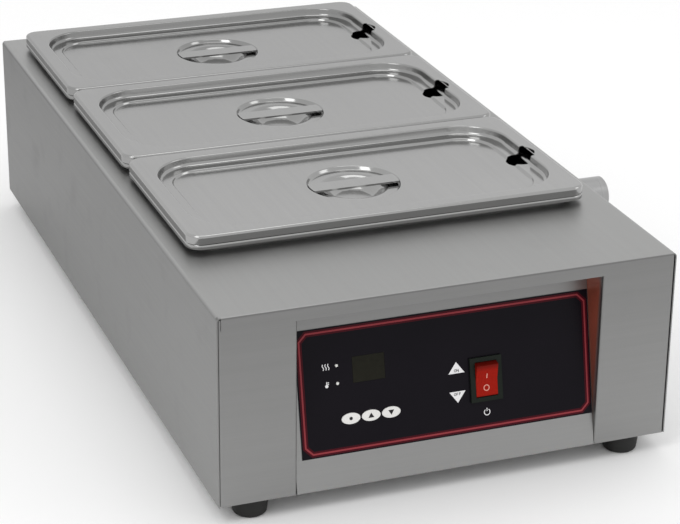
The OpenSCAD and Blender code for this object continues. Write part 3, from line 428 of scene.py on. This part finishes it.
FINISHES = {
    "cabinet_steel": cabinet_steel,
    "pan_steel": pan_steel,
    "fitting_steel": fitting_steel,
    "screw_steel": screw_steel,
    "brass": brass,
    "rocker_red": rocker_red,
    "wool": wool,
    "lever_steel": moulded((0.045, 0.045, 0.05), (0.07, 0.07, 0.075), 0.4, 0.5, 0.2),
    "label_black": moulded((0.0045, 0.0035, 0.006), (0.0065, 0.005, 0.008), 0.32, 0.4, 0.06, 0.08),
    "lens": moulded((0.009, 0.0085, 0.005), (0.013, 0.0125, 0.0075), 0.14, 3.0, 0.02, 0.1),
    "lamp_white": moulded((0.80, 0.80, 0.76), (0.90, 0.90, 0.87), 0.22, 0.6, 0.05),
    "key_white": moulded((0.74, 0.73, 0.71), (0.83, 0.82, 0.80), 0.38, 0.3, 0.1),
    "switch_black": moulded((0.006, 0.009, 0.006), (0.010, 0.014, 0.010), 0.36, 0.3, 0.15, 0.12),
    "board_green": moulded((0.012, 0.10, 0.035), (0.025, 0.16, 0.06), 0.35, 1.5, 0.1),
    "black_plastic": moulded((0.015, 0.015, 0.017), (0.026, 0.026, 0.028), 0.5, 0.3, 0.2),
    "cream_plastic": moulded((0.68, 0.63, 0.51), (0.76, 0.72, 0.61), 0.45, 0.4, 0.1),
    "white_plastic": moulded((0.78, 0.78, 0.76), (0.87, 0.87, 0.86), 0.5, 0.4, 0.1),
    "wire_sleeve": moulded((0.62, 0.57, 0.45), (0.74, 0.70, 0.58), 0.6, 0.5, 0.2),
    "heater_rubber": moulded((0.38, 0.10, 0.03), (0.48, 0.14, 0.05), 0.6, 0.6, 0.3),
    "black_rubber": moulded((0.009, 0.009, 0.009), (0.017, 0.017, 0.016), 0.62, 0.4, 0.35, 0.35),
}
materials = {slot: finish(slot, inputs) for slot, inputs in FINISHES.items()}
cheek_reflection_material = finish("cheek_painted_reflection", cheek_painted_reflection)


def dress_nodes():
    """Gives every CAD node the finish of its slot in the record; the right side panel takes the cabinet finish
    with the painted cheek reflection instead.
    """
    for row in frame["record"]["subparts"]:
        mesh = frame["nodes"][row["node"]].data
        mesh.materials.clear()
        # the right side panel carries the painted cheek reflection
        takes_cheek_reflection = row["node"] == "right_side_panel"
        mesh.materials.append(cheek_reflection_material if takes_cheek_reflection else materials[row["material_slot"]])


dress_nodes()

# Smooth shading of bends, without a change to the solids
SHARP = math.radians(32)
WELD = 0.001 * MM


def smooth_tree():
    """Modifier that welds a solid's corners and shades it smooth, save at sharp edges."""
    tree = bpy.data.node_groups.new("smooth_bends", "GeometryNodeTree")
    for way in ("INPUT", "OUTPUT"):
        tree.interface.new_socket("Geometry", in_out=way, socket_type="NodeSocketGeometry")
    first = tree.nodes.new("NodeGroupInput")
    weld = tree.nodes.new("GeometryNodeMergeByDistance")
    weld.inputs["Distance"].default_value = WELD
    faces = tree.nodes.new("GeometryNodeSetShadeSmooth")
    angle = tree.nodes.new("GeometryNodeInputMeshEdgeAngle")
    sharp = tree.nodes.new("FunctionNodeCompare")
    sharp.operation = "GREATER_THAN"
    sharp.inputs["B"].default_value = SHARP
    edges = tree.nodes.new("GeometryNodeSetShadeSmooth")
    edges.domain = "EDGE"
    edges.inputs["Shade Smooth"].default_value = False
    last = tree.nodes.new("NodeGroupOutput")
    for giver, taker in ((first, weld), (weld, faces), (faces, edges), (edges, last)):
        tree.links.new(giver.outputs[0], taker.inputs[0])
    tree.links.new(angle.outputs["Unsigned Angle"], sharp.inputs["A"])
    tree.links.new(sharp.outputs[0], edges.inputs["Selection"])
    return tree


def smooth_nodes():
    """Puts the smooth shading on every CAD node."""
    bends = smooth_tree()
    for node in frame["nodes"].values():
        smooth = node.modifiers.new("smooth_bends", "NODES")
        smooth.node_group = bends
        weights = node.modifiers.new("flat_faces", "WEIGHTED_NORMAL")
        weights.keep_sharp = True


smooth_nodes()

# Solids of ink, drawn on a flat place that maps two numbers and a height to a point


def side_step(points, i, closed):
    """Unit step to the left of a line at one of its points, made longer at a corner."""
    count = len(points)
    before = points[i - 1] if closed or i > 0 else None
    after = points[(i + 1) % count] if closed or i < count - 1 else None
    here = Vector(points[i])
    ways = []
    if before is not None:
        ways.append((here - Vector(before)).normalized())
    if after is not None:
        ways.append((Vector(after) - here).normalized())
    lefts = [Vector((-way.y, way.x)) for way in ways]
    middle = sum(lefts, Vector((0, 0))).normalized()
    return middle / middle.dot(lefts[0])


def add_line(shape, place, points, width, low, high, closed=False):
    """Closed solid along a line."""
    rings = []
    for i, point in enumerate(points):
        step = side_step(points, i, closed) * (width / 2)
        left = Vector(point) + step
        right = Vector(point) - step
        spots = ((left, low), (right, low), (right, high), (left, high))
        rings.append([shape.verts.new(place(spot.x, spot.y, level)) for spot, level in spots])
    pairs = list(zip(rings, rings[1:] + rings[:1])) if closed else list(zip(rings, rings[1:]))
    for one, two in pairs:
        for k in range(4):
            shape.faces.new((one[k], one[(k + 1) % 4], two[(k + 1) % 4], two[k]))
    if not closed:
        shape.faces.new(rings[0])
        shape.faces.new(reversed(rings[-1]))


def add_area(shape, place, points, low, high):
    """Closed solid over a flat outline."""
    bottom = [shape.verts.new(place(x, y, low)) for x, y in points]
    top = [shape.verts.new(place(x, y, high)) for x, y in points]
    shape.faces.new(bottom)
    shape.faces.new(top)
    for k in range(len(points)):
        after = (k + 1) % len(points)
        shape.faces.new((bottom[k], bottom[after], top[after], top[k]))


def arc(x, y, radius, first, last, steps):
    """Points along an arc, in degrees."""
    angles = [math.radians(first + (last - first) * k / steps) for k in range(steps + 1)]
    return [(x + radius * math.cos(a), y + radius * math.sin(a)) for a in angles]


def ring(x, y, radius, steps=32):
    return arc(x, y, radius, 0, 360, steps)[:-1]


def piece(name, draw, body, material):
    """New mesh piece on a body; draw adds its solids."""
    shape = bmesh.new()
    draw(shape)
    bmesh.ops.recalc_face_normals(shape, faces=shape.faces)
    mesh = bpy.data.meshes.new(name)
    shape.to_mesh(mesh)
    shape.free()
    mesh.materials.append(material)
    made = bpy.data.objects.new(name, mesh)
    bpy.context.scene.collection.objects.link(made)
    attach(made, body)
    return made


def ink(name, dark, light, specular):
    return finish(name, moulded(dark, light, 0.38, 0.3, 0.05, specular))


ink_red = ink("ink_red", (0.25, 0.034, 0.042), (0.31, 0.046, 0.055), 0.12)
ink_maroon = ink("ink_maroon", (0.050, 0.002, 0.006), (0.066, 0.003, 0.009), 0.1)
ink_white = ink("ink_white", (0.78, 0.77, 0.78), (0.86, 0.85, 0.86), 0.5)
ink_black = ink("ink_black", (0.010, 0.009, 0.011), (0.016, 0.014, 0.017), 0.2)
ink_pale = ink("ink_pale", (0.62, 0.24, 0.18), (0.72, 0.32, 0.25), 0.5)

# Printed marks of the label, in millimetres on the plate
label_low, label_high = plate_box("panel_label")
FILM = label_high[2]
INK = 0.06


def printed(name, draw, material):
    """Piece of ink on the label."""
    piece(name, draw, "cabinet", material)


# Red outline on a darker band
FRAME_INSET = 3.1
FRAME_CUT = 5.5
BAND_W = 4.2
LINE_W = 1.3


def cut_frame(inset, cut):
    """Outline inside the label's edge, with its corners cut at 45 degrees."""
    left = label_low[0] + inset
    right = label_high[0] - inset
    foot = label_low[1] + inset
    head = label_high[1] - inset
    return [
        (left + cut, foot), (right - cut, foot), (right, foot + cut), (right, head - cut),
        (right - cut, head), (left + cut, head), (left, head - cut), (left, foot + cut),
    ]


outline = cut_frame(FRAME_INSET, FRAME_CUT)


def edge_band(shape):
    add_line(shape, on_plate, outline, BAND_W, FILM, FILM + INK / 2, True)


def frame_line(shape):
    add_line(shape, on_plate, outline, LINE_W, FILM + INK / 2, FILM + INK, True)


printed("label_edge_band", edge_band, ink_maroon)
printed("label_frame_line", frame_line, ink_red)

# Arrows beside the switch
ARROW_U = 10.0
ARROW_W = 13.0
ARROW_H = 8.7
ON_FOOT_V = 72.2
OFF_HEAD_V = 58.3


def arrow(shape, foot_v, tip_v):
    """Triangle with a level side at one height and its tip at another."""
    half = ARROW_W / 2
    corners = [(ARROW_U - half, foot_v), (ARROW_U + half, foot_v), (ARROW_U, tip_v)]
    add_area(shape, on_plate, corners, FILM, FILM + INK)


printed("on_arrow", lambda shape: arrow(shape, ON_FOOT_V, ON_FOOT_V + ARROW_H), ink_white)
printed("off_arrow", lambda shape: arrow(shape, OFF_HEAD_V, OFF_HEAD_V - ARROW_H), ink_white)

# Lettering of the arrows: the generic words ON and OFF, from strokes in a box one unit high
LETTER_W = 0.7
STROKES = {
    "N": [[(0, 0), (0, 1), (LETTER_W, 0), (LETTER_W, 1)]],
    "F": [[(0, 0), (0, 1), (0.62, 1)], [(0, 0.52), (0.52, 0.52)]],
}
ROUND_W = 0.78
ROUND_MIDDLE = 0.36
LETTER_STEP = 1.08
LETTER_H = 1.9
LETTER_STROKE = 0.36
ON_WORD_RISE = 1.2
OFF_WORD_DROP = 3.0


def letter_lines(letter):
    """Lines of one letter, each with whether it closes on itself."""
    if letter == "O":
        return [([(x * ROUND_W + ROUND_MIDDLE, y + 0.5) for x, y in ring(0, 0, 0.5, 20)], True)]
    return [(line, False) for line in STROKES[letter]]


def word(shape, letters, middle_u, foot_v):
    """Letters side by side on the label, above the white ink."""
    low = FILM + INK
    width = (len(letters) - 1) * LETTER_STEP + LETTER_W
    for i, letter in enumerate(letters):
        left = i * LETTER_STEP - width / 2
        for line, closed in letter_lines(letter):
            points = [(middle_u + (x + left) * LETTER_H, foot_v + y * LETTER_H) for x, y in line]
            add_line(shape, on_plate, points, LETTER_STROKE, low, low + INK, closed)


printed("on_word", lambda shape: word(shape, "ON", ARROW_U, ON_FOOT_V + ON_WORD_RISE), ink_black)
printed("off_word", lambda shape: word(shape, "OFF", ARROW_U, OFF_HEAD_V - OFF_WORD_DROP), ink_black)

# Plain signs: rising heat and a thermometer beside the lamps, and a power sign under the switch
SIGN_ASIDE = 8.5
SIGN_H = 4.6
SIGN_STROKE = 0.6
WAVE_PITCH = 2.1
WAVE_SWING = 0.5
WAVE_STEPS = 12
BULB_R = 1.25
TICK_RISES = (0.4, 1.6)
POWER_R = 2.3
POWER_DROP = 26.0
POWER_GAP = 70


def sign_line(shape, points):
    add_line(shape, on_plate, points, SIGN_STROKE, FILM, FILM + INK)


def heat_sign(shape):
    u, v = middle_of("heat_lamp")
    for k in (-1, 0, 1):
        middle = u - SIGN_ASIDE + k * WAVE_PITCH
        steps = [i / WAVE_STEPS for i in range(WAVE_STEPS + 1)]
        wave = [(middle + WAVE_SWING * math.sin(math.tau * t), v + (t - 0.5) * SIGN_H) for t in steps]
        sign_line(shape, wave)


def thermal_sign(shape):
    u, v = middle_of("thermal_lamp")
    u -= SIGN_ASIDE
    bulb_v = v - SIGN_H / 2 + BULB_R
    add_area(shape, on_plate, ring(u, bulb_v, BULB_R, 24), FILM, FILM + INK)
    sign_line(shape, [(u, bulb_v + BULB_R), (u, v + SIGN_H / 2)])
    for rise in TICK_RISES:
        sign_line(shape, [(u + SIGN_STROKE, v + rise), (u + 3 * SIGN_STROKE, v + rise)])


def power_sign(shape):
    u, v = middle_of("switch_housing")
    v -= POWER_DROP
    sign_line(shape, arc(u, v, POWER_R, 90 + POWER_GAP / 2, 450 - POWER_GAP / 2, 28))
    sign_line(shape, [(u, v + 0.3 * POWER_R), (u, v + 1.4 * POWER_R)])


printed("heat_sign", heat_sign, ink_white)
printed("thermal_sign", thermal_sign, ink_white)
printed("power_sign", power_sign, ink_white)

# Marks on the keys: a dot, an arrow up and an arrow down
KEY_DOT_R = 1.3
KEY_ARROW = 2.3
KEY_ARROW_FOOT = KEY_ARROW * 0.75
KEY_ARROW_TIP = KEY_ARROW * 0.9


def key_mark(name, node, body, points):
    middle_u, middle_v = middle_of(node)
    top = plate_box(node)[1][2]
    spots = [(middle_u + x, middle_v + y) for x, y in points]
    piece(name, lambda shape: add_area(shape, on_plate, spots, top, top + INK), body, ink_black)


key_mark("set_mark", "set_key", "set_button", ring(0, 0, KEY_DOT_R, 24))
key_mark("up_mark", "up_key", "up_button",
         [(-KEY_ARROW, -KEY_ARROW_FOOT), (KEY_ARROW, -KEY_ARROW_FOOT), (0, KEY_ARROW_TIP)])
key_mark("down_mark", "down_key", "down_button",
         [(-KEY_ARROW, KEY_ARROW_FOOT), (0, -KEY_ARROW_TIP), (KEY_ARROW, KEY_ARROW_FOOT)])

# Marks on the rocker, whose two halves slope up from its valley
ROCKER_TIP = math.radians(joints["switch_tip"]["range_deg"][1]) / 2
ROCKER_PIVOT = Vector(joints["switch_tip"]["pos_m"])
ROCKER_UP = UP * math.cos(ROCKER_TIP) + OUT * math.sin(ROCKER_TIP)
ROCKER_OUT = OUT * math.cos(ROCKER_TIP) - UP * math.sin(ROCKER_TIP)
ROCKER_VALLEY = 4.0
BAR_LINE = [(0, 1.4), (0, 5.2)]
BAR_STROKE = 0.8
RING_U = -0.4
RING_V = -6.0
RING_R = 2.1
RING_STROKE = 0.7


def on_rocker(u, v, w):
    """Point above the rocker's face, from millimetres to the right, along it and out of it."""
    rise = ROCKER_VALLEY + abs(v) * math.tan(ROCKER_TIP) + w
    return ROCKER_PIVOT + (RIGHT * u + ROCKER_UP * v + ROCKER_OUT * rise) * MM


def rocker_bar(shape):
    add_line(shape, on_rocker, BAR_LINE, BAR_STROKE, 0, INK)


def rocker_ring(shape):
    add_line(shape, on_rocker, ring(RING_U, RING_V, RING_R), RING_STROKE, 0, INK, True)


piece("rocker_bar", rocker_bar, "rocker", ink_pale)
piece("rocker_ring", rocker_ring, "rocker", ink_pale)

# Studio: floor, white surroundings, soft lamps and the camera
FLOOR_HALF = 6.0
FLOOR_TONE = 0.99
WORLD_LIGHT = 0.85
LAMP_AIM = Vector((0, 0, 0.1))


def floor_pale(start):
    return {"Base Color": grey(FLOOR_TONE), "Roughness": 0.9, "Specular IOR Level": 0.1}


def make_floor():
    """Large pale floor under the feet."""
    shape = bmesh.new()
    bmesh.ops.create_grid(shape, x_segments=1, y_segments=1, size=FLOOR_HALF)
    mesh = bpy.data.meshes.new("floor")
    shape.to_mesh(mesh)
    shape.free()
    floor = bpy.data.objects.new("floor", mesh)
    floor.location = (0, 0, cad_box[0][2])
    bpy.context.scene.collection.objects.link(floor)
    mesh.materials.append(finish("floor_pale", floor_pale))


def make_world():
    """White where the camera, metal or glass sees it, and softer as light."""
    world = bpy.data.worlds.new("studio")
    bpy.context.scene.world = world
    world.use_nodes = True
    start = Wire(world.node_tree)
    camera, glossy, glass = (start.node("LightPath", None, None, out=name)
                             for name in ("Is Camera Ray", "Is Glossy Ray", "Is Transmission Ray"))
    shown = camera.most(glossy).most(glass)
    background = world.node_tree.nodes["Background"]
    start.feed(background.inputs["Color"], grey(1))
    start.feed(background.inputs["Strength"], WORLD_LIGHT + shown * (1 - WORLD_LIGHT))


def softbox(name, spot, width, height, power):
    """Large soft lamp at one point, turned to the object."""
    light = bpy.data.lights.new(name, "AREA")
    light.shape = "RECTANGLE"
    light.size = width
    light.size_y = height
    light.energy = power
    lamp = bpy.data.objects.new(name, light)
    lamp.location = spot
    lamp.rotation_euler = (LAMP_AIM - Vector(spot)).to_track_quat("-Z", "Y").to_euler()
    bpy.context.scene.collection.objects.link(lamp)


make_floor()
make_world()
softbox("key_light", (-1.5, -1.2, 2.2), 1.0, 1.0, 11)
softbox("fill_light", (1.9, -1.0, 1.6), 0.9, 0.9, 4)
softbox("top_light", (0.1, 0.2, 2.4), 1.4, 0.9, 6)

# Camera, found by fitting the cabinet's corners to the photograph, 680 by 524 pixels
IMAGE_W = 680
SENSOR_W = 36
FOCAL_PIXELS = 2274.97
TURN = math.radians(-20.69)
RISE = math.radians(23.14)
ROLL = math.radians(0.61)
DISTANCE = 1984.97 * MM
ASIDE = 35.79 * MM
ABOVE = 29.80 * MM


def make_camera():
    """Camera at the photograph's viewpoint."""
    back = Vector((math.sin(TURN) * math.cos(RISE), -math.cos(TURN) * math.cos(RISE), math.sin(RISE)))
    level = Vector((0, 0, 1)).cross(back).normalized()
    upright = back.cross(level)
    across = level * math.cos(ROLL) + upright * math.sin(ROLL)
    upward = upright * math.cos(ROLL) - level * math.sin(ROLL)
    spot = Vector((MIDDLE_X, MIDDLE_Y, BASE_Z)) + back * DISTANCE + across * ASIDE + upward * ABOVE
    lens = bpy.data.cameras.new("photo_camera")
    lens.sensor_fit = "HORIZONTAL"
    lens.sensor_width = SENSOR_W
    lens.lens = FOCAL_PIXELS / IMAGE_W * SENSOR_W
    camera = bpy.data.objects.new("photo_camera", lens)
    camera.matrix_world = Matrix.Translation(spot) @ Matrix((across, upward, back)).transposed().to_4x4()
    bpy.context.scene.collection.objects.link(camera)
    bpy.context.scene.camera = camera


make_camera()
bpy.context.scene.view_settings.view_transform = "Standard"
